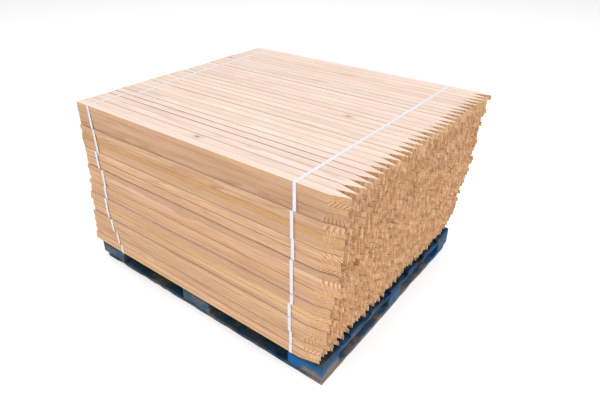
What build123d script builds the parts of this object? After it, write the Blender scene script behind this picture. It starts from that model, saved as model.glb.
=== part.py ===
"""A pallet load of sawn stakes: ten tiers of strapped bundles on a four-way block pallet.

Millimetres. +X runs along the stakes towards their points, +Z is up, and the origin is the
middle of the pallet's underside, on the floor.
"""

import os

from build123d import *

# Stakes: sawn square at the butt and cut to a two-sided point, seen from above
stake_width = 33.6
stake_thickness = 18.0
stake_length = 1200.0
point_length = 68.0
stake_gap = 0.3

# Bundles: rows of stakes side by side, held by two plastic straps each
stakes_per_row = 5
bundles_per_tier = 6
strap_width = 12.0
strap_thickness = 0.7
strap_slack = 0.2
bundle_gap = 0.3

# Tiers from the pallet up: rows in each bundle, how far the points stand past the pallet's
# end, how far the tier sits off the pallet's middle, and how far its straps run in from the
# points and from the butt ends
tier_rows = [2, 3, 3, 3, 2, 3, 4, 4, 5, 5]
tier_overhang = [-3.0, 10.0, 18.0, 25.0, 29.0, 38.0, 50.0, 54.0, 61.0, 68.0]
tier_side_shift = [-7.0, -4.0, -6.0, -2.0, -4.0, 0.0, -2.0, 2.0, 0.0, 3.0]
tip_strap_inset = [112.0, 126.0, 137.0, 147.0, 140.0, 152.0, 162.0, 164.0, 172.0, 171.0]
butt_strap_inset = [190.0, 157.0, 131.0, 103.0, 105.0, 103.0, 102.0, 76.0, 89.0, 73.0]

# Small unevenness: bundles and rows along their length, and the butt straps along a tier
bundle_stagger = [0.0, -3.0, 2.0, -1.0, 3.0, -2.0, 1.0]
row_stagger = [0.0, 2.0, -1.5, 1.0, -2.0]
butt_strap_stagger = [0.0, 36.0, 18.0, 8.0, 10.0, 6.0]

# Pallet: a perimeter base, nine blocks, three stringer boards and seven deck boards
pallet_length = 1200.0
pallet_width = 1000.0
base_thickness = 16.0
base_board_width = 100.0
base_corner_cut = 30.0
block_length = 145.0
block_width = 100.0
block_height = 48.0
stringer_width = 145.0
stringer_thickness = 16.0
deck_thickness = 16.0
edge_deck_width = 120.0
inner_deck_width = 95.0
inner_deck_boards = 5

# Levels and spacings that follow from the sizes above
base_top = base_thickness
block_top = base_top + block_height
stringer_top = block_top + stringer_thickness
deck_top = stringer_top + deck_thickness
row_pitch = stake_thickness + stake_gap
stake_pitch = stake_width + stake_gap
row_width = stakes_per_row * stake_pitch - stake_gap
strap_space = strap_slack + strap_thickness
bundle_pitch = row_width + 2 * strap_space + bundle_gap
columns = {"butt": -1, "middle": 0, "tip": 1}
lines = {"front": -1, "middle": 0, "back": 1}

os.makedirs("parts", exist_ok=True)
pieces = []


def keep(part, name):
    """Label a finished piece and write it to its own file."""
    part.label = name
    export_step(part, f"parts/{name}.step")
    pieces.append(part)


def board(name, centre, size, bottom):
    """Make one square-edged board or block that lies flat at the given height."""
    with BuildPart() as piece:
        with BuildSketch(Plane.XY.offset(bottom)):
            with Locations(centre):
                Rectangle(size[0], size[1])
        extrude(amount=size[2])
    keep(piece.part, name)


def base_end_board(name, side, front_cut):
    """Make the full-width base board of one end, its outer corners cut off.

    The front corner is left square where front_cut is False.
    """
    centre_x = side * (pallet_length - base_board_width) / 2
    with BuildPart() as piece:
        with BuildSketch():
            with Locations((centre_x, 0)):
                Rectangle(base_board_width, pallet_width)
        extrude(amount=base_thickness)
        ends = piece.edges().filter_by(Axis.Z).sort_by(Axis.X)
        outer = (ends[-2:] if side > 0 else ends[:2]).sort_by(Axis.Y)
        chamfer(outer if front_cut else outer[1:], length=base_corner_cut)
    keep(piece.part, name)


def build_pallet():
    """Make the pallet's base, blocks, stringer boards and deck boards."""
    base_end_board("base_board_butt_end", -1, front_cut=True)
    base_end_board("base_board_tip_end", 1, front_cut=False)
    size = (pallet_length - 2 * base_board_width, base_board_width, base_thickness)
    for line, side in lines.items():
        board(f"base_board_{line}", (0, side * (pallet_width - base_board_width) / 2), size, 0)
    for column, end in columns.items():
        block_x = end * (pallet_length - block_length) / 2
        size = (block_length, block_width, block_height)
        for line, side in lines.items():
            block_y = side * (pallet_width - block_width) / 2
            board(f"block_{column}_{line}", (block_x, block_y), size, base_top)
        stringer_x = end * (pallet_length - stringer_width) / 2
        size = (stringer_width, pallet_width, stringer_thickness)
        board(f"stringer_board_{column}", (stringer_x, 0), size, block_top)
    widths = [edge_deck_width] + [inner_deck_width] * inner_deck_boards + [edge_deck_width]
    gap = (pallet_width - sum(widths)) / (len(widths) - 1)
    front = -pallet_width / 2
    for number, width in enumerate(widths, 1):
        size = (pallet_length, width, deck_thickness)
        board(f"deck_board_{number}", (0, front + width / 2), size, stringer_top)
        front += width + gap


def row_outline(tip_x, first_y):
    """Return the plan outline of a bundle's row: one straight butt end, a point per stake."""
    butt_x = tip_x - stake_length
    shoulder_x = tip_x - point_length
    points = [(butt_x, first_y), (shoulder_x, first_y)]
    for stake in range(stakes_per_row):
        start_y = first_y + stake * stake_pitch
        points.append((tip_x, start_y + stake_width / 2))
        end_y = start_y + stake_width
        if stake < stakes_per_row - 1:
            end_y += stake_gap / 2
        points.append((shoulder_x, end_y))
    points.append((butt_x, first_y + row_width))
    return points


def stake_outline(tip_x, first_y):
    """Return the plan outline of a single stake."""
    butt_x = tip_x - stake_length
    shoulder_x = tip_x - point_length
    return [
        (butt_x, first_y),
        (shoulder_x, first_y),
        (tip_x, first_y + stake_width / 2),
        (shoulder_x, first_y + stake_width),
        (butt_x, first_y + stake_width),
    ]


def bundle_front(tier, bundle):
    """Return the Y of a bundle's front face of wood."""
    middle = tier_side_shift[tier] + (bundle - (bundles_per_tier - 1) / 2) * bundle_pitch
    return middle - row_width / 2


def tier_tip(tier):
    """Return the X that a tier's points reach, before the unevenness of its bundles."""
    return pallet_length / 2 + tier_overhang[tier]


def build_tier(tier, bottom):
    """Make one tier of bundles; the open top tier has every stake as a solid of its own."""
    single_stakes = tier == len(tier_rows) - 1
    with BuildPart() as stakes:
        for row in range(tier_rows[tier]):
            with BuildSketch(Plane.XY.offset(bottom + row * row_pitch)):
                for bundle in range(bundles_per_tier):
                    tip_x = tier_tip(tier) + bundle_stagger[(3 * tier + bundle) % len(bundle_stagger)]
                    tip_x += row_stagger[(row + bundle + tier) % len(row_stagger)]
                    front = bundle_front(tier, bundle)
                    if single_stakes:
                        starts = [front + stake * stake_pitch for stake in range(stakes_per_row)]
                        outlines = [stake_outline(tip_x, start) for start in starts]
                    else:
                        outlines = [row_outline(tip_x, front)]
                    for outline in outlines:
                        with BuildLine():
                            Polyline(*outline, close=True)
                        make_face()
            extrude(amount=stake_thickness)
    keep(stakes.part, f"stakes_tier_{tier + 1:02d}")


def build_straps(tier, bottom):
    """Make the two closed straps round each bundle of a tier."""
    height = tier_rows[tier] * row_pitch - stake_gap
    inner = (row_width + 2 * strap_slack, height + 2 * strap_slack)
    outer = (inner[0] + 2 * strap_thickness, inner[1] + 2 * strap_thickness)
    with BuildPart() as straps:
        for bundle in range(bundles_per_tier):
            middle = (bundle_front(tier, bundle) + row_width / 2, bottom + height / 2)
            stagger = butt_strap_stagger[bundle % len(butt_strap_stagger)]
            tip_strap = tier_tip(tier) - tip_strap_inset[tier]
            butt_strap = tier_tip(tier) - stake_length + butt_strap_inset[tier] + stagger
            for centre_x in (tip_strap, butt_strap):
                with BuildSketch(Plane.YZ.offset(centre_x - strap_width / 2)):
                    with Locations(middle):
                        Rectangle(*outer)
                        Rectangle(*inner, mode=Mode.SUBTRACT)
                extrude(amount=strap_width)
    keep(straps.part, f"straps_tier_{tier + 1:02d}")


build_pallet()
wood_bottom = deck_top + strap_space
for tier_index, rows in enumerate(tier_rows):
    build_tier(tier_index, wood_bottom)
    build_straps(tier_index, wood_bottom)
    wood_bottom += rows * row_pitch - stake_gap + 2 * strap_space + bundle_gap

load_top = max(piece.bounding_box().max.Z for piece in pieces)
print(f"{len(pieces)} pieces, top of the load at {load_top:.1f} mm")
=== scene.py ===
"""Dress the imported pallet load: sawn stakes, white strapping and a worn blue block pallet.

Everything is in metres in the part's own frame: +X towards the stakes' points, +Z up, and the
origin in the middle of the pallet's underside.
"""

import logging
import math
from dataclasses import dataclass, field
from enum import Enum

import bmesh
import bpy
import numpy as np
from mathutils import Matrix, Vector, noise


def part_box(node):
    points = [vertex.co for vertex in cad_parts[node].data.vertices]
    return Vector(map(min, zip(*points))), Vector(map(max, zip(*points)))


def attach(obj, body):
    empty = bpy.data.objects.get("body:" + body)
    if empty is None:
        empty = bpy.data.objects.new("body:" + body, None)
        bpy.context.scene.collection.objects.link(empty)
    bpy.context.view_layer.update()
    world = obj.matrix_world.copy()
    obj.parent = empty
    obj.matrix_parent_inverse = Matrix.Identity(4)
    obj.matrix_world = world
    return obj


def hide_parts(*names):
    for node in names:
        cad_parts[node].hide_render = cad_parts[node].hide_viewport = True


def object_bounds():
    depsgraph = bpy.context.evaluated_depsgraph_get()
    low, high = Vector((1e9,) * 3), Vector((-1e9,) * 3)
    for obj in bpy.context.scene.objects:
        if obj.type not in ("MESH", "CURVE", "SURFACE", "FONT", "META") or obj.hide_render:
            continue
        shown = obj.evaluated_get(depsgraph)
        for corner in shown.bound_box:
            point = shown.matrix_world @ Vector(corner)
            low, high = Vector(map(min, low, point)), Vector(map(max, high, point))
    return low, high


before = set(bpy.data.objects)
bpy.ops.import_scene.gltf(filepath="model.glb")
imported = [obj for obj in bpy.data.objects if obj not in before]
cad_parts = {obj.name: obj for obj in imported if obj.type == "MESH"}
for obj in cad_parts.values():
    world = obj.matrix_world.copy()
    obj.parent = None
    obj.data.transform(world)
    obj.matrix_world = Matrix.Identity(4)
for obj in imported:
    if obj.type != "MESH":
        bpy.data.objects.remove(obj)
cad_low, cad_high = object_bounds()

log = logging.getLogger("stake_load")
BODY = "root"
MM = 0.001
STRAP_RISE = 0.9 * MM
GRID = 1e-5
TOUCH = 1e-6
SHARP = math.radians(12)
Socket = bpy.types.NodeSocket
Piece = bpy.types.Object
Material = bpy.types.Material
Point = tuple[float, float, float]
Colour = tuple[float, float, float, float]


class Slot(Enum):
    """The record's material slots."""

    TIMBER = "sawn_softwood"
    STRAPPING = "white_strapping"
    PALLET = "painted_pallet_wood"


@dataclass(frozen=True)
class Box:
    """The lowest and highest corner of one solid of the frame.

    Args:
        low: Lowest corner in metres.
        high: Highest corner in metres.
    """

    low: Vector
    high: Vector

    @property
    def size(self) -> Vector:
        """Return the box's three side lengths."""
        return self.high - self.low

    @property
    def centre(self) -> Vector:
        """Return the box's middle."""
        return (self.high + self.low) / 2

    @property
    def longest(self) -> int:
        """Return the number of the axis that the box is longest along."""
        return max(range(3), key=lambda axis: self.size[axis])


@dataclass
class Pattern:
    """The points and faces of a piece that is modelled once and then copied.

    Args:
        points: One row of x, y, z for each vertex.
        faces: Vertex numbers of each face.
    """

    points: np.ndarray
    faces: list[list[int]]

    def moved(self, *place: float) -> "Pattern":
        """Return a copy that is moved to a place."""
        return Pattern(self.points + np.array(place), self.faces)


def linear(hex_code: str) -> Colour:
    """Turn an sRGB hex colour into the linear values that a shader takes.

    Args:
        hex_code: Colour such as "#E2B78C".

    Returns:
        Linear red, green and blue, and an alpha of 1.
    """
    channels = [int(hex_code[i : i + 2], 16) / 255 for i in (1, 3, 5)]
    values = [c / 12.92 if c <= 0.04045 else ((c + 0.055) / 1.055) ** 2.4 for c in channels]
    return (values[0], values[1], values[2], 1.0)


@dataclass(frozen=True)
class Graph:
    """The shader nodes of one material, and short ways to add the usual ones.

    Args:
        tree: The material's node tree.
    """

    tree: bpy.types.NodeTree

    def add(
        self,
        kind: str,
        settings: dict[str, object] | None = None,
        values: dict[int | str, object] | None = None,
    ) -> bpy.types.Node:
        """Add a node, set its options, and fill or link its inputs.

        Args:
            kind: Blender's name of the node type, without the Shader part.
            settings: Options of the node itself, by attribute name.
            values: Inputs by name or number: a socket to link, a hex colour, or a value.

        Returns:
            The new node.
        """
        node = self.tree.nodes.new(f"ShaderNode{kind}")
        for name, option in (settings or {}).items():
            setattr(node, name, option)
        for key, value in (values or {}).items():
            if isinstance(value, Socket):
                self.tree.links.new(value, node.inputs[key])
            else:
                node.inputs[key].default_value = linear(value) if isinstance(value, str) else value
        return node

    def math(self, operation: str, *values: object) -> Socket:
        """Add a Math node and return its result."""
        return self.add("Math", {"operation": operation}, dict(enumerate(values))).outputs[0]

    def times(self, first: object, second: object, *plus: object) -> Socket:
        """Multiply two values, and add a third if there is one."""
        return self.math("MULTIPLY_ADD" if plus else "MULTIPLY", first, second, *plus)

    def rest(self, share: Socket) -> Socket:
        """Return what a share leaves of 1."""
        return self.math("SUBTRACT", 1.0, share)

    def vector(self, operation: str, first: Socket, second: object) -> Socket:
        """Add a Vector Math node and return its vector."""
        return self.add("VectorMath", {"operation": operation}, {0: first, 1: second}).outputs[0]

    def length(self, vector: Socket) -> Socket:
        """Return a vector's length."""
        return self.add("VectorMath", {"operation": "LENGTH"}, {0: vector}).outputs["Value"]

    def axes(self, vector: Socket) -> list[Socket]:
        """Return the three numbers of a vector or colour."""
        return list(self.add("SeparateXYZ", None, {0: vector}).outputs)

    def attribute(self, name: str, output: str) -> Socket:
        """Return one output of a stored attribute, such as Vector, Color or Alpha."""
        return self.add("Attribute", {"attribute_name": name}).outputs[output]

    def noise(self, vector: Socket, scale: float, detail: float, roughness: float = 0.5) -> Socket:
        """Draw noise of about 0.2 to 0.8; scale says how fine it is per unit of the position."""
        values = {"Vector": vector, "Scale": scale, "Detail": detail, "Roughness": roughness}
        return self.add("TexNoise", None, values).outputs[0]

    def mix(self, share: object, first: object, second: object, mode: str = "MIX") -> Socket:
        """Mix two colours; share says how much of the second."""
        options = {"data_type": "RGBA", "blend_type": mode, "clamp_factor": True}
        return self.add("Mix", options, {0: share, 6: first, 7: second}).outputs[2]

    def shade(self, colour: Socket, factor: Socket) -> Socket:
        """Make a colour lighter or darker by a factor."""
        grey = self.add("CombineXYZ", None, dict.fromkeys(range(3), factor))
        return self.mix(1.0, colour, grey.outputs[0], "MULTIPLY")

    def spread(
        self, value: Socket, source: tuple[float, float], target: tuple[float, float] = (0.0, 1.0)
    ) -> Socket:
        """Map a value smoothly from one range to another, clamped at both ends."""
        inputs = dict(enumerate((value, *source, *target)))
        return self.add("MapRange", {"interpolation_type": "SMOOTHSTEP"}, inputs).outputs[0]

    def bump(self, height: Socket, depth: float, strength: float) -> Socket:
        """Turn a relief, whose height of 1 is depth metres, into surface normals."""
        values = {"Strength": strength, "Distance": depth, "Height": height}
        return self.add("Bump", None, values).outputs[0]

    def finish(self, values: dict[str, object]) -> None:
        """Add the surface shader and the output."""
        shader = self.add("BsdfPrincipled", None, values)
        self.add("OutputMaterial", None, {"Surface": shader.outputs["BSDF"]})


class Finish:
    """A finish; each kind of it paints one node material."""

    name: str

    def build(self) -> Material:
        """Make the material.

        Returns:
            The finished material.
        """
        material = bpy.data.materials.new(self.name)
        material.use_nodes = True
        material.node_tree.nodes.clear()
        self.paint(Graph(material.node_tree))
        return material

    def paint(self, graph: Graph) -> None:
        """Add the nodes to an empty material."""
        raise NotImplementedError


@dataclass(frozen=True)
class SawnSoftwood(Finish):
    """Spruce or pine, band-sawn and left unplaned: dry, dull, with growth rings that cut through.

    The rings are cylinders round each stake's own heart, so sides, butt ends and the slanting
    cuts of the point all show the same wood. Fibres are drawn coarser than real ones so that
    they show at the photograph's distance.
    """

    name: str = "rough_sawn_spruce"
    # Pale broad-face colours: partly weathered wood, partly a painted highlight
    pink_face: str = "#F8E3D9"
    straw_face: str = "#F6E5D6"
    pink_edge: str = "#DDB597"
    straw_edge: str = "#DDBA8E"
    cut_end: str = "#EAC592"
    # Colour of the dust and painted shade in the joints between stakes
    joint: str = "#80451F"
    torn_fibre_highlight: str = "#F6E0BE"
    torn_hollow_shade: str = "#A0662F"
    late_wood: str = "#A9683C"
    amber: str = "#CF8B45"
    stained: str = "#B5805A"
    knot: str = "#7A4526"
    ring_mm: float = 2.3
    fibre_mm: float = 1.1
    saw_mark_mm: float = 9.0
    knot_mm: float = 8.0
    streaks_per_metre: Point = (2.6, 45.0, 45.0)
    tears_per_metre: Point = (110.0, 160.0, 160.0)
    flecks_per_metre: Point = (150.0, 150.0, 34.0)
    relief: float = 0.8 * MM
    roughness: float = 0.82
    specular: float = 0.25

    def grain(self, graph: Graph, local: Socket, ring_width: Socket) -> Socket:
        """Draw the late wood of the growth rings.

        Args:
            graph: Nodes of the wood.
            local: Position from the stake's heart.
            ring_width: Share from 0, narrow rings, to 1, wide rings.

        Returns:
            0 in early wood and 1 in the dark late wood.
        """
        wander = self.clouds(graph, local, (2.2, 26.0, 26.0), 2.0)
        along, side, up = graph.axes(local)
        distance = graph.length(graph.add("CombineXYZ", None, {1: side, 2: up}).outputs[0])
        drift = graph.times(wander, 0.012, distance)
        taper = graph.times(along, 0.008, drift)
        spacing = graph.times(ring_width, self.ring_mm * MM, self.ring_mm * MM * 0.6)
        ring = graph.math("FRACT", graph.math("DIVIDE", taper, spacing))
        rise = graph.spread(ring, (0.25, 0.86))
        return graph.times(rise, graph.spread(ring, (0.9, 1.0), (1.0, 0.0)))

    def clouds(self, graph: Graph, place: Socket, scale: Point, detail: float = 3.0) -> Socket:
        """Draw noise that is stretched along the stake; scale says how fine it is per metre."""
        stretched = graph.add("Mapping", None, {"Vector": place, "Scale": scale})
        return graph.noise(stretched.outputs[0], 1.0, detail)

    def add_knot(self, graph: Graph, wood: Socket, position: Socket, torn: Socket) -> Socket:
        """Draw the knot that goes right through some stakes, and the dark wood round it.

        Args:
            graph: Nodes of the wood.
            wood: The wood's colour.
            position: Position in the load.
            torn: Noise that makes the knot's edge uneven.

        Returns:
            The wood's colour with the knot.
        """
        away = graph.vector("SUBTRACT", position, graph.attribute("stake_knot", "Vector"))
        flat = graph.vector("MULTIPLY", away, (0.55, 1.0, 0.12))
        distance = graph.times(torn, 0.004, graph.length(flat))
        radius = self.knot_mm * MM
        core = graph.spread(distance, (radius * 0.6, radius * 1.15), (0.6, 0.0))
        halo = graph.spread(distance, (radius, radius * 3.0), (0.22, 0.0))
        wood = graph.mix(halo, wood, self.late_wood)
        return graph.mix(core, wood, self.knot)

    def paint(self, graph: Graph) -> None:
        """Paint the wood.

        Args:
            graph: Nodes of the material.
        """
        times, spread, mix = graph.times, graph.spread, graph.mix
        coordinates = graph.add("TexCoord")
        position = coordinates.outputs["Object"]
        brightness, hue, ring_width = graph.axes(graph.attribute("stake_tone", "Color"))
        sawn = graph.attribute("stake_tone", "Alpha")
        joint, bleach_and_highlight, clean = graph.axes(graph.attribute("stake_age_and_shading", "Vector"))
        local = graph.vector("SUBTRACT", position, graph.attribute("stake_heart", "Vector"))
        late_wood = self.grain(graph, local, ring_width)
        per_fibre = 0.5 / (self.fibre_mm * MM)
        fibre = self.clouds(graph, local, (7.0, per_fibre, per_fibre))
        stain = self.clouds(graph, local, self.streaks_per_metre)
        torn = self.clouds(graph, local, self.tears_per_metre)
        flecks = self.clouds(graph, position, self.flecks_per_metre)

        # Which way the surface faces: broad face, sawn side, or a cut across the stake
        ahead, _, upward = graph.axes(coordinates.outputs["Normal"])
        level = graph.math("ABSOLUTE", upward)
        broad = spread(level, (0.8, 0.95))
        end_cut = spread(graph.math("ABSOLUTE", ahead), (0.08, 0.2))
        side_cut = graph.rest(end_cut)

        # Broad faces are paler than the sawn edges, partly from weathering and partly as a painted
        # highlight, palest on the top row of the open tier; the cuts of the point are yellower
        straw = spread(hue, (0.0, 0.7))
        face = mix(straw, self.pink_face, self.straw_face)
        edge = mix(straw, self.pink_edge, self.straw_edge)
        face = mix(bleach_and_highlight, edge, face)
        edge = mix(times(end_cut, 0.35), edge, self.cut_end)
        wood = mix(broad, edge, face)
        amber_limit = spread(broad, (0.0, 1.0), (0.42, 0.3))
        amber_limit = times(end_cut, -0.3, amber_limit)
        warm = times(spread(hue, (0.8, 1.0)), amber_limit)
        wood = mix(warm, wood, self.amber)
        ring_limit = spread(broad, (0.0, 1.0), (0.31, 0.2))
        ring_limit = times(end_cut, times(clean, 0.36, 0.14), ring_limit)
        wood = mix(times(late_wood, ring_limit), wood, self.late_wood)
        wood = self.add_knot(graph, wood, position, torn)

        # Pale and brown streaks run along the stake, the thin ones on its sawn sides only
        dull = spread(bleach_and_highlight, (0.5, 1.0), (1.0, 0.55))
        shade = spread(fibre, (0.3, 0.7), (0.93, 1.05))
        pale_streak = times(spread(stain, (0.5, 0.7), (0.0, 0.05)), dull)
        shade = times(shade, graph.math("ADD", pale_streak, 1.0))
        dark_streak = times(spread(stain, (0.3, 0.54), (0.3, 0.0)), dull)
        thin_streak = times(spread(fibre, (0.3, 0.47), (0.42, 0.0)), side_cut)
        dark_streak = times(thin_streak, graph.rest(broad), dark_streak)
        wood = mix(dark_streak, wood, self.stained)

        # The cuts of the inner points are torn: raised fibres are paler, partly a painted highlight,
        # and hollows brown, partly painted shade; the torn cuts are also lifted a little brighter as
        # painted light
        rough_share = times(end_cut, times(clean, -0.8, 1.0))
        raised = times(rough_share, spread(flecks, (0.5, 0.68), (0.0, 0.62)))
        sunk = times(rough_share, spread(flecks, (0.3, 0.5), (0.55, 0.0)))
        wood = mix(raised, wood, self.torn_fibre_highlight)
        wood = mix(sunk, wood, self.torn_hollow_shade)
        shade = times(shade, times(rough_share, 0.08, 1.0))
        shade = times(shade, brightness)

        # Dust and painted shade darken the joints; open corners get a painted highlight
        corner = times(spread(level, (0.2, 0.5)), graph.rest(broad))
        joint_share = times(corner, joint)
        wood = mix(joint_share, wood, self.joint)
        # Painted highlight: open corners without joint shade are drawn brighter
        shade = times(graph.math("SUBTRACT", corner, joint_share), 0.16, shade)

        # Band-saw marks stand across some stakes
        along, _, up = graph.axes(local)
        marks = times(along, math.tau / (self.saw_mark_mm * MM))
        wave = graph.math("SINE", times(up, 260.0, marks))
        saw_share = times(sawn, spread(broad, (0.0, 1.0), (0.12, 0.035)))
        shade = times(times(wave, saw_share), side_cut, shade)

        relief = times(wave, saw_share, fibre)
        relief = times(late_wood, 0.25, relief)
        relief = times(torn, times(rough_share, 0.5), relief)
        graph.finish(
            {
                "Base Color": graph.shade(wood, shade),
                "Roughness": self.roughness,
                "Specular IOR Level": self.specular,
                "Normal": graph.bump(relief, self.relief, 0.4),
            }
        )


@dataclass(frozen=True)
class WhiteStrapping(Finish):
    """Polypropylene strap, rolled with fine ribs along it: milky bluish white with a soft shine, and
    painted shade in stripes along the ribs.
    """

    name: str = "white_polypropylene_strap"
    colour: str = "#E9EAF4"
    # Darker colour painted along the ribs as painted shade
    groove: str = "#C9CAD8"
    rib_mm: float = 2.2
    relief: float = 0.2 * MM
    roughness: float = 0.38
    refraction: float = 1.49
    haze: float = 2 * MM

    def paint(self, graph: Graph) -> None:
        """Paint the strap.

        Args:
            graph: Nodes of the material.
        """
        position = graph.add("TexCoord").outputs["Object"]
        turns = graph.times(graph.axes(position)[0], math.tau / (self.rib_mm * MM))
        rib = graph.spread(graph.math("SINE", turns), (-1.0, 1.0))
        # Painted shade along the ribs, patchy with noise
        patchy_rib_shade = graph.noise(position, 60.0, 2.0)
        share = graph.times(rib, graph.spread(patchy_rib_shade, (0.3, 0.7), (0.15, 0.45)))
        graph.finish(
            {
                "Base Color": graph.mix(share, self.colour, self.groove),
                "Roughness": self.roughness,
                "IOR": self.refraction,
                "Subsurface Weight": 0.1,
                "Subsurface Radius": (self.haze, self.haze, self.haze),
                "Normal": graph.bump(rib, self.relief, 0.4),
            }
        )


@dataclass(frozen=True)
class WornPalletPaint(Finish):
    """Thin blue paint on rough pallet wood: scraped to grey wood on corners, dark with yard dirt, and
    darker on the boards inside the pallet, partly as painted shade.
    """

    name: str = "worn_blue_pallet_paint"
    fresh_paint: str = "#005F9E"
    old_paint_and_shade: str = "#13283A"
    faded_paint: str = "#4A5B66"
    bare_wood: str = "#8E8176"
    scuffed_wood: str = "#B38A5A"
    # Near-black dirt, which on the boards inside the pallet partly stands for painted shade
    dirt: str = "#1B1A1C"
    mud: str = "#4E3325"
    patch_mm: float = 110.0
    relief: float = 1 * MM
    specular: float = 0.12
    raggedness: float = 0.65

    def paint(self, graph: Graph) -> None:
        """Paint the pallet's boards.

        Args:
            graph: Nodes of the material.
        """
        times, spread, mix = graph.times, graph.spread, graph.mix
        position = graph.add("TexCoord").outputs["Object"]
        fresh_and_lit, bare, soiled_and_shaded = graph.axes(graph.attribute("board_wear_and_shade", "Color"))
        corner = graph.attribute("board_wear_and_shade", "Alpha")
        stretched = graph.vector("MULTIPLY", position, graph.attribute("board_grain", "Vector"))
        grain = graph.noise(stretched, 1.0, 4.0, self.raggedness)
        patches = graph.noise(position, 1000.0 / self.patch_mm, 3.0, self.raggedness)
        chips = graph.noise(position, 60.0, 3.0, self.raggedness)
        smears = graph.noise(position, 12.0, 3.0, self.raggedness)

        # The paint grows old, then fades, then comes off; the older paint on the boards inside the
        # pallet is partly painted shade
        aged_and_shaded = graph.math("SUBTRACT", times(chips, 0.2, smears), fresh_and_lit)
        aged_and_shaded = spread(aged_and_shaded, (0.05, 0.45))
        paint = mix(aged_and_shaded, self.fresh_paint, self.old_paint_and_shade)
        scraped = times(grain, 0.28, times(chips, 0.16, patches))
        scraped = times(corner, 0.06, graph.math("ADD", scraped, bare))
        faded = spread(scraped, (0.62, 0.88), (0.0, 0.8))
        paint = mix(faded, paint, self.faded_paint)
        open_wood = spread(scraped, (0.84, 1.0), (0.0, 0.9))
        new_scuff = times(corner, spread(chips, (0.54, 0.64)))
        wood = mix(new_scuff, self.bare_wood, self.scuffed_wood)
        wood = graph.shade(wood, spread(grain, (0.3, 0.7), (0.6, 1.15)))
        surface = mix(open_wood, paint, wood)

        # Yard dirt and mud lie over all of it; the extra dirt on the boards inside the pallet is
        # partly painted shade
        filth_and_shade = graph.math("ADD", graph.noise(position, 9.0, 6.0, self.raggedness), soiled_and_shaded)
        filth_and_shade = spread(filth_and_shade, (0.55, 0.95), (0.0, 0.85))
        soil = mix(spread(smears, (0.42, 0.6)), self.dirt, self.mud)
        graph.finish(
            {
                "Base Color": mix(filth_and_shade, surface, soil),
                "Roughness": spread(open_wood, (0.0, 1.0), (0.55, 0.85)),
                "Specular IOR Level": self.specular,
                "Normal": graph.bump(times(open_wood, -0.6, grain), self.relief, 0.5),
            }
        )


@dataclass(frozen=True)
class NailSteel(Finish):
    """Dull steel of the pallet's nail heads, rusted brown."""

    name: str = "rusted_nail_steel"
    colour: str = "#5A4A40"
    metallic: float = 0.6
    roughness: float = 0.6

    def paint(self, graph: Graph) -> None:
        """Add the surface."""
        values = {"Metallic": self.metallic, "Roughness": self.roughness}
        graph.finish({"Base Color": self.colour} | values)


@dataclass(frozen=True)
class PaleFloor(Finish):
    """Matt white studio sweep, lit from below so that it shows as plain white."""

    name: str = "matt_white_sweep"
    colour: str = "#F4F4F4"
    glow_colour: str = "#FFFFFF"
    glow: float = 0.4
    roughness: float = 0.9
    specular: float = 0.1

    def paint(self, graph: Graph) -> None:
        """Add the surface."""
        glow = {"Emission Color": self.glow_colour, "Emission Strength": self.glow}
        values = {"Roughness": self.roughness, "Specular IOR Level": self.specular}
        graph.finish({"Base Color": self.colour} | values | glow)


def deselect_all() -> None:
    """Leave edit mode and deselect every object."""
    if bpy.context.mode != "OBJECT":
        bpy.ops.object.mode_set(mode="OBJECT")
    bpy.ops.object.select_all(action="DESELECT")


def open_mesh(piece: Piece) -> None:
    """Enter edit mode on one piece with nothing selected.

    Args:
        piece: The mesh object to edit.
    """
    deselect_all()
    bpy.context.view_layer.objects.active = piece
    piece.select_set(True)
    bpy.ops.object.mode_set(mode="EDIT")
    bpy.ops.mesh.select_mode(type="EDGE")
    bpy.ops.mesh.select_all(action="DESELECT")


def cut(place: Vector, normal: Vector, drop: bool = False) -> None:
    """Cut the edit mesh with a plane; drop removes the normal's side and closes the cut."""
    bpy.ops.mesh.select_all(action="SELECT")
    bpy.ops.mesh.bisect(
        plane_co=place, plane_no=normal, use_fill=drop, clear_outer=drop, threshold=TOUCH
    )


def bevel_sharp_edges(piece: Piece, width: float, segments: int) -> None:
    """Bevel every sharp edge of the piece in edit mode.

    Args:
        piece: The mesh object in edit mode.
        width: Bevel width in metres.
        segments: Faces across the bevel.
    """
    bpy.ops.mesh.select_mode(type="EDGE")
    bpy.ops.mesh.select_all(action="DESELECT")
    mesh = bmesh.from_edit_mesh(piece.data)
    for edge in mesh.edges:
        if len(edge.link_faces) == 2 and edge.calc_face_angle() > SHARP:
            edge.select_set(True)
    bmesh.update_edit_mesh(piece.data)
    bpy.ops.mesh.bevel(offset=width, segments=segments, affect="EDGES", clamp_overlap=True)


def take_pattern(piece: Piece) -> Pattern:
    """Read a finished piece's points and faces, and remove the piece.

    Args:
        piece: The mesh object that was modelled.

    Returns:
        Its points and faces.
    """
    bpy.ops.object.mode_set(mode="OBJECT")
    mesh = piece.data
    points = np.empty(len(mesh.vertices) * 3)
    mesh.vertices.foreach_get("co", points)
    faces = [list(polygon.vertices) for polygon in mesh.polygons]
    bpy.data.objects.remove(piece)
    bpy.data.meshes.remove(mesh)
    return Pattern(points.reshape(-1, 3), faces)


def join_copies(name: str, copies: list[Pattern]) -> Piece:
    """Make one piece from many copies of patterns.

    Args:
        name: The piece's name.
        copies: The copies, each in its place.

    Returns:
        The new mesh object, at the origin.
    """
    points = np.concatenate([copy.points for copy in copies])
    faces: list[list[int]] = []
    start = 0
    for copy in copies:
        faces.extend([index + start for index in face] for face in copy.faces)
        start += len(copy.points)
    mesh = bpy.data.meshes.new(name)
    mesh.from_pydata(points.tolist(), [], faces)
    mesh.update()
    piece = bpy.data.objects.new(name, mesh)
    bpy.context.scene.collection.objects.link(piece)
    return piece


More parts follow.
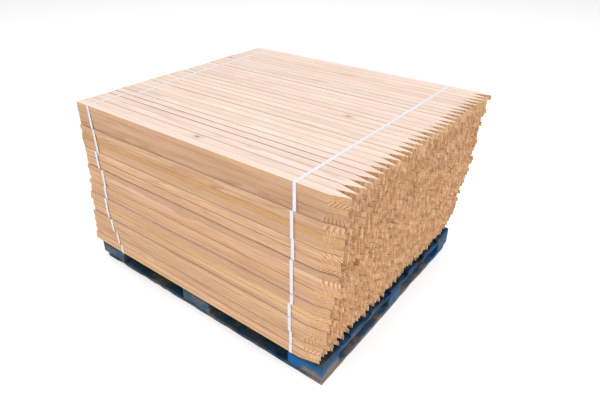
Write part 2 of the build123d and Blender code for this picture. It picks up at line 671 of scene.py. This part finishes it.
def store(piece: Piece, name: str, rows: list[tuple[float, ...]]) -> None:
    """Give every point of a piece a vector or a colour that its material reads.

    Args:
        piece: The piece.
        name: The attribute's name.
        rows: Three numbers, or four for a colour, for each point.
    """
    kind, key = ("FLOAT_COLOR", "color") if len(rows[0]) == 4 else ("FLOAT_VECTOR", "vector")
    layer = piece.data.attributes.new(name, kind, "POINT")
    layer.data.foreach_set(key, np.array(rows, dtype=np.float32).ravel())


def nodes_named(start: str) -> list[str]:
    """Return the frame nodes whose names start so, in order."""
    return sorted(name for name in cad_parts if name.startswith(start))


def solids_of(node: str) -> list[Box]:
    """Find the separate solids of a frame node.

    Args:
        node: The node's name.

    Returns:
        One box for each solid, from the bottom up and from the front to the back.
    """
    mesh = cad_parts[node].data
    corners: dict[tuple[int, int, int], int] = {}
    owner: list[int] = []

    def root(index: int) -> int:
        """Follow a corner's number to the one that stands for its solid."""
        while owner[index] != index:
            owner[index] = owner[owner[index]]
            index = owner[index]
        return index

    numbers = []
    for vertex in mesh.vertices:
        key = tuple(round(value / GRID) for value in vertex.co)
        if key not in corners:
            corners[key] = len(owner)
            owner.append(len(owner))
        numbers.append(corners[key])
    for polygon in mesh.polygons:
        first, *others = [numbers[index] for index in polygon.vertices]
        for other in others:
            owner[root(other)] = root(first)
    groups: dict[int, list[Vector]] = {}
    for vertex, number in zip(mesh.vertices, numbers):
        groups.setdefault(root(number), []).append(vertex.co)
    boxes = []
    for group in groups.values():
        low, high = (Vector([end(values) for values in zip(*group)]) for end in (min, max))
        boxes.append(Box(low, high))
    return sorted(boxes, key=lambda box: (round(box.low.z, 4), box.low.y))


@dataclass(frozen=True)
class Spot:
    """One stake's space in the load.

    Args:
        box: The space.
        drop: How far below the tier's top it lies.
        outer: -1 on the load's front, 1 on its back and 0 between.
        open_tier: True in the tier that is open to view from above.
    """

    box: Box
    drop: float
    outer: int
    open_tier: bool

    @property
    def top_row(self) -> bool:
        """Say whether the stake lies in the row that is open to view from above."""
        return self.open_tier and self.drop < MM


@dataclass
class StakeLoad:
    """The ten tiers of stakes.

    Args:
        pitch: Distance from one stake to the next in a row.
        stake_gap: Gap between the stakes of a row.
        bundle: Stakes across one bundle.
        point: Length of the two-sided point.
        blunt_mm: Width that the saw leaves at a tip, least and most.
        arris: Width of the rubbed corner along a stake.
        rings: Cuts along a stake, at which it may bow.
        bow_mm: The most that a stake bows sideways.
        variants: How many stakes are modelled before copying.
        lean: How far the rows of a tier step back for each metre down.
        tuck: How far the outer rows of a tier tuck in, for each metre down.
        tuck_limit: The most that an outer row tucks in.
        sunk_share: Share of the outer stakes that lie a little behind the others.
        sunk_mm: How far behind they lie, least and most.
        joint_shade: Least and most dust and painted shade in the joint between two stakes.
        amber_share: Share of the stakes that are resinous and yellower.
        marked_share: Share of the stakes that show saw marks.
        knotty_share: Share of the stakes that have a knot.
        foot: Height at which the load starts.
        rise: Height of the load.
        chance: Source of the stakes' differences.
    """

    pitch: float = 33.9 * MM
    stake_gap: float = 0.3 * MM
    bundle: int = 5
    point: float = 68 * MM
    blunt_mm: tuple[float, float] = (0.8, 4.0)
    arris: float = 0.9 * MM
    rings: int = 6
    bow_mm: float = 0.25
    variants: int = 14
    lean: float = 0.11
    tuck: float = 0.045
    tuck_limit: float = 3.2 * MM
    sunk_share: float = 0.16
    sunk_mm: tuple[float, float] = (1.0, 3.0)
    joint_shade: tuple[float, float] = (0.06, 1.0)
    amber_share: float = 0.05
    marked_share: float = 0.26
    knotty_share: float = 0.16
    foot: float = 0.1
    rise: float = 0.64
    chance: np.random.Generator = field(default_factory=lambda: np.random.default_rng(11))

    def model_stake(self, size: Vector) -> Pattern:
        """Model one stake, its tip at x = 0 and its middle line on the X axis.

        Args:
            size: Overall length, width of the broad face, and height of the sawn edge.

        Returns:
            The stake as a pattern.
        """
        deselect_all()
        bpy.ops.mesh.primitive_cube_add(size=1, location=(-size.x / 2, 0, 0), scale=size)
        piece = bpy.context.active_object
        bpy.ops.object.transform_apply(location=True, rotation=False, scale=True)
        open_mesh(piece)
        chance = self.chance
        point = self.point * chance.uniform(0.9, 1.04)
        middle = chance.uniform(-0.12, 0.12) * size.y
        blunt = chance.uniform(*self.blunt_mm) * MM
        for side in (-1, 1):
            tip = Vector((0, middle + side * blunt / 2, 0))
            shoulder = Vector((-point * chance.uniform(0.9, 1.0), side * size.y / 2, 0))
            along = tip - shoulder
            tilt = chance.uniform(-0.06, 0.06)
            cut(tip, Vector((abs(along.y), side * along.x, tilt * along.x)), drop=True)
        ahead = Vector((1, 0, 0))
        for step in range(1, self.rings):
            cut(Vector((-point - (size.x - point) * step / self.rings, 0, 0)), ahead)
        cut(Vector((-point * 1.02, 0, 0)), ahead)
        bevel_sharp_edges(piece, self.arris, 1)
        return take_pattern(piece)

    def loss(self, usual_mm: float, most_mm: float) -> float:
        """Draw how much of a stake's size is missing, in metres."""
        return min(abs(self.chance.normal(0, usual_mm)), most_mm) * MM

    def copy_stake(self, pattern: Pattern, spot: Spot) -> np.ndarray:
        """Move a copy of a stake to its spot, with its own small faults.

        Args:
            pattern: The stake to copy.
            spot: Its space in the load.

        Returns:
            The copy's points.
        """
        chance = self.chance
        box = spot.box
        points = pattern.points.copy()
        if chance.random() < 0.5:
            points[:, 1:] *= -1
        full = points.max(axis=0) - points.min(axis=0)
        tucked = min(spot.drop * self.tuck, self.tuck_limit) + chance.uniform(0, 0.9) * MM
        inset = abs(spot.outer) * tucked
        if spot.outer and not spot.top_row and chance.random() < self.sunk_share:
            inset += chance.uniform(*self.sunk_mm) * MM
        width = box.size.y - self.loss(0.7, 2.2) - inset
        height = box.size.z + 0.5 * MM - self.loss(0.25 if spot.open_tier else 0.7, 1.6)
        short = self.loss(1.2 if spot.top_row else 5.5, 15.0)
        points *= np.array([box.size.x - short, width, height]) / full
        run = -points[:, 0] / box.size.x
        points[:, 1] += chance.uniform(-self.bow_mm, self.bow_mm) * MM * np.sin(math.pi * run)
        butt_end = box.low.x - spot.drop * self.lean + chance.uniform(-1.5, 1.5) * MM
        butt_end = max(butt_end, cad_low.x)
        slack = (box.size.z - height) / 2
        loose = chance.uniform(-0.5, 0.5) * (box.size.y - width - inset)
        middle = box.centre.y + loose - spot.outer * inset / 2
        level = box.centre.z + (slack if spot.open_tier else -slack)
        level = min(level, cad_high.z - STRAP_RISE - height / 2)
        points += np.array([butt_end - points[:, 0].min(), middle, level])
        points[:, 0] = np.minimum(points[:, 0], cad_high.x)
        return points

    def age_and_shade_stake(self, points: np.ndarray, spot: Spot) -> np.ndarray:
        """Say how much dust and painted shade lies in the joint along each corner of a stake, and how
        bleached and highlighted the stake is painted.

        Args:
            points: The stake's points.
            spot: Its space in the load.

        Returns:
            Joint dust and painted shade, bleaching and painted highlight, and how clean the cuts of
            the stake's point are, for each point.
        """
        least, most = self.joint_shade
        limit, rarity = (0.98, 2.6) if spot.open_tier else (1.0, 2.4)
        # Each side's joint gets its own amount of dust and painted shade
        dust = least + (most - least) * self.chance.uniform(0, limit, 2) ** rarity
        middle = spot.box.centre
        side = np.sign(points[:, 1] - middle.y)
        joint = np.where(side < 0, dust[0], dust[1])
        joint = np.where(points[:, 0] > points[:, 0].max() - self.point, joint * 0.25, joint)
        if spot.drop < MM:
            bare = points[:, 2] > middle.z
            if spot.open_tier:
                bare &= side == spot.outer
            joint = np.where(bare, 0.0, joint)
        # The top row of the open tier gets the palest broad faces: partly bleaching, partly a painted
        # highlight
        bleach_and_highlight = np.full(len(points), 1.0 if spot.top_row else 0.4)
        clean = np.where(points[:, 0] < middle.x, 0.7, 1.0 if spot.outer else 0.15)
        return np.column_stack([joint, bleach_and_highlight, clean])

    def stake_boxes(self, node: str) -> list[Box]:
        """Split a tier's solids into single stakes.

        Args:
            node: Name of the tier's node.

        Returns:
            The space of each stake.
        """
        boxes = []
        for solid in solids_of(node):
            count = round((solid.size.y + self.stake_gap) / self.pitch)
            width = (solid.size.y - (count - 1) * self.stake_gap) / count
            for number in range(count):
                front = solid.low.y + number * (width + self.stake_gap)
                low = Vector((solid.low.x, front, solid.low.z))
                high = Vector((solid.high.x, front + width, solid.high.z))
                boxes.append(Box(low, high))
        return boxes

    def draw_tone(self, bundle_hue: float, light: float, uneven: float) -> Colour:
        """Draw one stake's look.

        Args:
            bundle_hue: The hue that the stakes of a bundle share, cut from the same logs.
            light: The tier's brightness, painted shade that makes the upper tiers darker.
            uneven: How unevenly bright the stakes are.

        Returns:
            Brightness, hue from pink over straw to amber, ring width and saw marks.
        """
        chance = self.chance
        hue = float(np.clip(chance.normal(bundle_hue, 0.16), 0, 0.75))
        if chance.random() < self.amber_share:
            hue = chance.uniform(0.8, 1.0)
        saw_marks = chance.uniform(0.4, 1.0) if chance.random() < self.marked_share else 0.0
        brightness = light * float(np.clip(chance.normal(1.0, uneven), 0.87, 1.12))
        return (brightness, hue, chance.uniform(0, 1), saw_marks)

    def draw_heart(self, spot: Spot) -> Point:
        """Choose where the heart of the log lay for one stake.

        Rings of the outer stakes run upright, so that the cuts of their points show them as stripes.

        Args:
            spot: The stake's space.

        Returns:
            A point of the heart's line.
        """
        angle = self.chance.uniform(0, math.tau)
        reach = self.chance.uniform(12, 90) * MM
        if spot.outer:
            angle = -0.9 + 1.8 * angle / math.tau
            reach *= 1.6
        middle = spot.box.centre
        along = self.chance.uniform(-3, 3)
        return (along, middle.y + reach * math.cos(angle), middle.z + reach * math.sin(angle))

    def draw_knot(self, box: Box) -> Point:
        """Choose where a stake's knot sits; most stakes have none, so theirs lies far away.

        Args:
            box: The stake's space.

        Returns:
            The knot's middle.
        """
        if self.chance.random() > self.knotty_share:
            return (0.0, 0.0, -50.0)
        along = self.chance.uniform(box.low.x, box.high.x)
        side = self.chance.uniform(-0.22, 0.22) * box.size.y
        return (along, box.centre.y + side, box.centre.z)

    def build_tier(self, name: str, open_tier: bool, patterns: list[Pattern]) -> Piece:
        """Make one tier's stakes as one piece.

        Args:
            name: Name of the tier's node.
            open_tier: True in the tier that is open to view from above.
            patterns: The stakes to copy.

        Returns:
            The tier.
        """
        copies, hearts, knots, tones, age_and_shade_rows = [], [], [], [], []
        uneven = 0.018 if open_tier else 0.045
        boxes = self.stake_boxes(name)
        top = max(box.high.z for box in boxes)
        front = min(box.low.y for box in boxes)
        back = max(box.high.y for box in boxes)
        hues = self.chance.uniform(0.1, 0.5, 7)
        # Painted shade: the stakes are darker towards the top of the load
        light = 1.02 - 0.1 * ((top - self.foot) / self.rise) ** 3
        for box in boxes:
            pattern = patterns[int(self.chance.integers(len(patterns)))]
            outer = int(box.high.y > back - MM) - int(box.low.y < front + MM)
            spot = Spot(box, top - box.high.z, outer, open_tier)
            points = self.copy_stake(pattern, spot)
            hue = hues[int((box.centre.y - front) / (self.bundle * self.pitch))]
            copies.append(Pattern(points, pattern.faces))
            hearts.extend([self.draw_heart(spot)] * len(points))
            knots.extend([self.draw_knot(box)] * len(points))
            tones.extend([self.draw_tone(hue, light, 0.05 if outer else uneven)] * len(points))
            age_and_shade_rows.extend(self.age_and_shade_stake(points, spot))
        piece = join_copies(name.replace("stakes", "timber"), copies)
        store(piece, "stake_heart", hearts)
        store(piece, "stake_knot", knots)
        store(piece, "stake_tone", tones)
        store(piece, "stake_age_and_shading", age_and_shade_rows)
        return piece

    def build(self, finish: Material) -> None:
        """Make every tier and put it in place of the frame's plain one.

        Args:
            finish: The wood's material.
        """
        names = nodes_named("stakes_tier")
        sample = self.stake_boxes(names[0])[0].size
        patterns = [self.model_stake(sample) for _ in range(self.variants)]
        for name in names:
            piece = self.build_tier(name, name == names[-1], patterns)
            piece.data.materials.append(finish)
            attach(piece, BODY)
            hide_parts(name)
            log.info("%s: %d faces", piece.name, len(piece.data.polygons))


@dataclass
class Strapping:
    """The two straps round every bundle.

    Args:
        corner: Radius that a strap takes over a bundle's corner.
        thickness: Thickness of the strap.
        ribs: Strips across the strap.
        groove: How deep the grooves between ribs are; not used.
    """

    corner: float = 2.2 * MM
    thickness: float = 0.7 * MM
    ribs: int = 5
    groove: float = 0.12 * MM

    def model_loop(self, size: Vector) -> Pattern:
        """Model one closed strap, centred on the origin.

        Args:
            size: Outer width along X, and outer size along Y and Z.

        Returns:
            The strap as a pattern.
        """
        deselect_all()
        bpy.ops.mesh.primitive_plane_add(size=1, rotation=(0, math.pi / 2, 0))
        piece = bpy.context.active_object
        bpy.ops.object.transform_apply(location=False, rotation=True, scale=False)
        open_mesh(piece)
        bpy.ops.mesh.select_all(action="SELECT")
        bpy.ops.transform.resize(value=(1, size.y, size.z))
        bpy.ops.transform.translate(value=(-size.x / 2, 0, 0))
        bpy.ops.mesh.delete(type="ONLY_FACE")
        bpy.ops.mesh.select_mode(type="VERT")
        bpy.ops.mesh.select_all(action="SELECT")
        bpy.ops.mesh.bevel(offset=self.corner, segments=3, affect="VERTICES")
        bpy.ops.mesh.select_mode(type="EDGE")
        strip = size.x / self.ribs
        for number in range(self.ribs):
            bpy.ops.mesh.select_all(action="DESELECT")
            mesh = bmesh.from_edit_mesh(piece.data)
            edge_x = -size.x / 2 + number * strip
            for edge in mesh.edges:
                edge.select_set(all(abs(vertex.co.x - edge_x) < TOUCH for vertex in edge.verts))
            bmesh.update_edit_mesh(piece.data)
            bpy.ops.mesh.extrude_region_move(TRANSFORM_OT_translate={"value": (strip, 0, 0)})
        bpy.ops.mesh.select_all(action="SELECT")
        bpy.ops.mesh.normals_make_consistent(inside=False)
        bpy.ops.object.mode_set(mode="OBJECT")
        wall = piece.modifiers.new("wall", "SOLIDIFY")
        wall.thickness = self.thickness
        wall.offset = -1
        bpy.ops.object.modifier_apply(modifier=wall.name)
        return take_pattern(piece)

    def build(self, finish: Material) -> None:
        """Make every tier's straps and put them in place of the frame's plain ones.

        Args:
            finish: The strap's material.
        """
        for name in nodes_named("straps_tier"):
            loops = solids_of(name)
            pattern = self.model_loop(loops[0].size)
            copies = [pattern.moved(*loop.centre) for loop in loops]
            piece = join_copies(name.replace("straps", "strapping"), copies)
            piece.data.materials.append(finish)
            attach(piece, BODY)
            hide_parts(name)
            log.info("%s: %d straps", piece.name, len(copies))


@dataclass(frozen=True)
class Wear:
    """How worn one board of the pallet is, and how much painted light and shade it carries.

    Args:
        fresh_and_lit: Share of paint that is still bright, partly painted light on the near block and
            the tip-end base board.
        bare: Share scraped to the wood.
        soiled_and_shaded: Share covered by dirt, partly painted shade on the boards inside the pallet.
        scraped: How much barer the foot of its outer end is, where forks strike it.
    """

    fresh_and_lit: float
    bare: float
    soiled_and_shaded: float
    scraped: float = 0.0


@dataclass
class Pallet:
    """The pallet's boards and blocks, with rubbed and chipped corners.

    Args:
        rubbed: Width of the worn corner of a board.
        step: Distance between the cuts that let an edge wander.
        chip: Deepest place that wear has cut into a corner.
        chips_per_metre: How close together the deep places lie.
        struck_from: Distance along the pallet at which its foremost block gets barer.
        struck_over: Distance over which it gets barer.
        fine_grain: How fine the grain is across a board, per metre.
        long_grain: How fine it is along a board, per metre.
        nail_radius: Radius of a nail's head.
        nail_head: Height of a nail's head.
        nail_rise: How far a head's middle lies under the board's top.
        nails: Each nail's place at a crossing, as shares along and across the deck board.
        wear: Wear of the boards whose names start so, partly painted light and shade; the first that
            fits counts.
    """

    rubbed: float = 2.5 * MM
    step: float = 30 * MM
    chip: float = 3.5 * MM
    chips_per_metre: float = 31.0
    struck_from: float = 0.48
    struck_over: float = 0.05
    fine_grain: float = 260.0
    long_grain: float = 8.0
    nail_radius: float = 4.2 * MM
    nail_head: float = 1.2 * MM
    nail_rise: float = 0.2 * MM
    nails: tuple[tuple[float, float], ...] = ((-0.3, 0.25), (0.0, 0.75), (0.3, 0.3))
    # The near block and the tip-end base board keep brighter, cleaner paint; the other boards get
    # older paint and more dirt: partly real wear and dirt, partly painted light and shade
    wear: dict[str, Wear] = field(
        default_factory=lambda: {
            "block_tip_front": Wear(0.66, -0.3, -0.45, scraped=0.8),
            "base_board_tip": Wear(0.5, 0.1, -0.25),
            "base_board_front": Wear(0.24, 0.06, 0.1),
            "block": Wear(0.3, 0.06, -0.1),
            "deck_board": Wear(0.2, -0.1, 0.04),
            "stringer": Wear(0.3, -0.06, -0.02),
            "base_board": Wear(0.16, -0.06, 0.12),
        }
    )

    def dress_board(self, name: str, finish: Material) -> None:
        """Make the worn board or block that stands for one frame node.

        Args:
            name: The node's name.
            finish: The pallet's material.
        """
        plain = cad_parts[name]
        piece = plain.copy()
        piece.data = plain.data.copy()
        piece.name = f"worn_{name}"
        piece.hide_render = piece.hide_viewport = False
        bpy.context.scene.collection.objects.link(piece)
        low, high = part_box(name)
        box = Box(Vector(low), Vector(high))
        open_mesh(piece)
        bpy.ops.mesh.select_all(action="SELECT")
        bpy.ops.mesh.remove_doubles(threshold=GRID)
        bpy.ops.mesh.dissolve_limited(angle_limit=math.radians(1))
        normal = Vector([float(axis == box.longest) for axis in range(3)])
        bevel_sharp_edges(piece, self.rubbed, 2)
        length = box.size[box.longest]
        cuts = max(2, round(length / self.step))
        for number in range(1, cuts):
            cut(box.low + normal * (length * number / cuts), normal)
        bpy.ops.object.mode_set(mode="OBJECT")
        worn = next(wear for start, wear in self.wear.items() if name.startswith(start))
        self.wear_down(piece, box, worn)
        piece.data.materials.clear()
        piece.data.materials.append(finish)
        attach(piece, BODY)
        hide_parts(name)
        log.info("%s: %d faces", piece.name, len(piece.data.polygons))

    def wear_down(self, piece: Piece, box: Box, wear: Wear) -> None:
        """Push the corners in unevenly, and note the grain's direction and the wear.

        Args:
            piece: The board.
            box: The board's box.
            wear: How worn the board is.
        """
        longest = box.longest
        reach = self.rubbed * 1.1
        corners = []
        for vertex in piece.data.vertices:
            place = vertex.co.copy()
            sides = [
                axis
                for axis in range(3)
                if min(place[axis] - box.low[axis], box.high[axis] - place[axis]) < reach
            ]
            is_corner = len(sides) > 1
            corners.append(float(is_corner))
            if not is_corner:
                continue
            depth = max(0.0, noise.noise(place * self.chips_per_metre)) * self.chip
            for axis in sides:
                if axis != longest:
                    vertex.co[axis] += math.copysign(depth, box.centre[axis] - place[axis])
        grain = tuple(self.long_grain if axis == longest else self.fine_grain for axis in range(3))
        shades = []
        for vertex, corner in zip(piece.data.vertices, corners):
            low_down = (box.high.z - vertex.co.z) / box.size.z
            struck = min(max((vertex.co.x - self.struck_from) / self.struck_over, 0.0), 1.0)
            scrape = struck * low_down * wear.scraped
            shades.append((wear.fresh_and_lit, wear.bare + scrape, wear.soiled_and_shaded, corner))
        store(piece, "board_grain", [grain] * len(corners))
        store(piece, "board_wear_and_shade", shades)

    def nail_heads(self, finish: Material) -> None:
        """Set three nail heads at every crossing of a deck board and a stringer board.

        Args:
            finish: The nails' material.
        """
        deselect_all()
        bpy.ops.mesh.primitive_cylinder_add(vertices=10, radius=self.nail_radius, depth=self.nail_head)
        head = bpy.context.active_object
        open_mesh(head)
        bevel_sharp_edges(head, 0.4 * MM, 1)
        pattern = take_pattern(head)
        copies = []
        for board in nodes_named("deck_board"):
            low, high = (Vector(corner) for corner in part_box(board))
            for crossing in nodes_named("stringer_board"):
                start, stop = (Vector(corner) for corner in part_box(crossing))
                middle = (start.x + stop.x) / 2
                for along, side in self.nails:
                    nail_x = middle + along * (stop.x - start.x)
                    nail_y = low.y + side * (high.y - low.y)
                    copies.append(pattern.moved(nail_x, nail_y, high.z - self.nail_rise))
        piece = join_copies("pallet_nails", copies)
        piece.data.materials.append(finish)
        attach(piece, BODY)
        log.info("%s: %d nails", piece.name, len(copies))

    def build(self, finish: Material, steel: Material) -> None:
        """Dress every board and block, and nail them.

        Args:
            finish: The boards' material.
            steel: The nails' material.
        """
        for name in nodes_named(""):
            if not name.startswith(("stakes", "straps")):
                self.dress_board(name, finish)
        self.nail_heads(steel)


@dataclass
class Studio:
    """Camera, floor and soft light.

    Args:
        position: Where the camera stands.
        azimuth: Direction of view, in degrees left of +Y.
        elevation: How far the camera looks down, in degrees.
        roll: Camera's roll in degrees.
        lens: Focal length for a sensor 36 mm wide.
        sensor: Width of the sensor, in millimetres.
        aim: Point that the lights face.
        surround: Strength of the light from all round.
        floor_size: Side of the floor.
    """

    position: Point = (1.222, -1.437, 1.376)
    azimuth: float = 37.3
    elevation: float = 30.6
    roll: float = 0.1
    lens: float = 30.3
    sensor: float = 36.0
    aim: Point = (0, 0, 0.4)
    surround: float = 0.5
    floor_size: float = 60.0

    def place_camera(self) -> None:
        """Make the camera at the photograph's viewpoint."""
        data = bpy.data.cameras.new("photo_view")
        data.lens = self.lens
        data.sensor_width = self.sensor
        camera = bpy.data.objects.new("photo_view", data)
        bpy.context.scene.collection.objects.link(camera)
        camera.location = self.position
        angles = (90 - self.elevation, 0.0, self.azimuth)
        camera.rotation_euler = [math.radians(angle) for angle in angles]
        camera.rotation_euler.rotate_axis("Z", math.radians(self.roll))
        bpy.context.scene.camera = camera

    def lay_floor(self) -> None:
        """Lay the pale floor."""
        deselect_all()
        bpy.ops.mesh.primitive_plane_add(size=self.floor_size, location=(0, 0, 0))
        floor = bpy.context.active_object
        floor.name = "studio_floor"
        floor.data.materials.append(PaleFloor().build())

    def add_light(self, name: str, place: Point, size: float, power: float, tint: str) -> None:
        """Hang one soft square light that faces the load.

        Args:
            name: The light's name.
            place: Where it hangs.
            size: Side of the square.
            power: Power in watts.
            tint: Colour as sRGB hex.
        """
        data = bpy.data.lights.new(name, "AREA")
        data.shape = "SQUARE"
        data.size = size
        data.energy = power
        data.color = linear(tint)[:3]
        light = bpy.data.objects.new(name, data)
        bpy.context.scene.collection.objects.link(light)
        light.location = place
        towards = Vector(self.aim) - Vector(place)
        light.rotation_euler = towards.to_track_quat("-Z", "Y").to_euler()

    def build(self) -> None:
        """Set up the camera, the floor, the surround and the lights."""
        self.place_camera()
        self.lay_floor()
        world = bpy.data.worlds.new("white_surround")
        world.use_nodes = True
        background = world.node_tree.nodes["Background"]
        background.inputs["Color"].default_value = linear("#FFFFFF")
        background.inputs["Strength"].default_value = self.surround
        bpy.context.scene.world = world
        self.add_light("overhead_softbox", (0.3, 0.0, 5.0), 7.0, 225.0, "#FFFCF8")
        self.add_light("front_fill", (-0.6, -3.8, 1.6), 2.4, 10.0, "#FFF9F2")
        self.add_light("end_fill", (4.0, -1.6, 1.8), 2.4, 26.0, "#FFF9F2")
        bpy.context.scene.view_settings.view_transform = "Standard"
        bpy.context.scene.view_settings.look = "None"


def main() -> None:
    """Build the studio and every sub-assembly, and report each piece."""
    logging.basicConfig(level=logging.INFO, format="%(name)s %(message)s")
    Studio().build()
    StakeLoad().build(SawnSoftwood().build())
    Strapping().build(WhiteStrapping().build())
    Pallet().build(WornPalletPaint().build(), NailSteel().build())


if __name__ == "__main__":
    main()
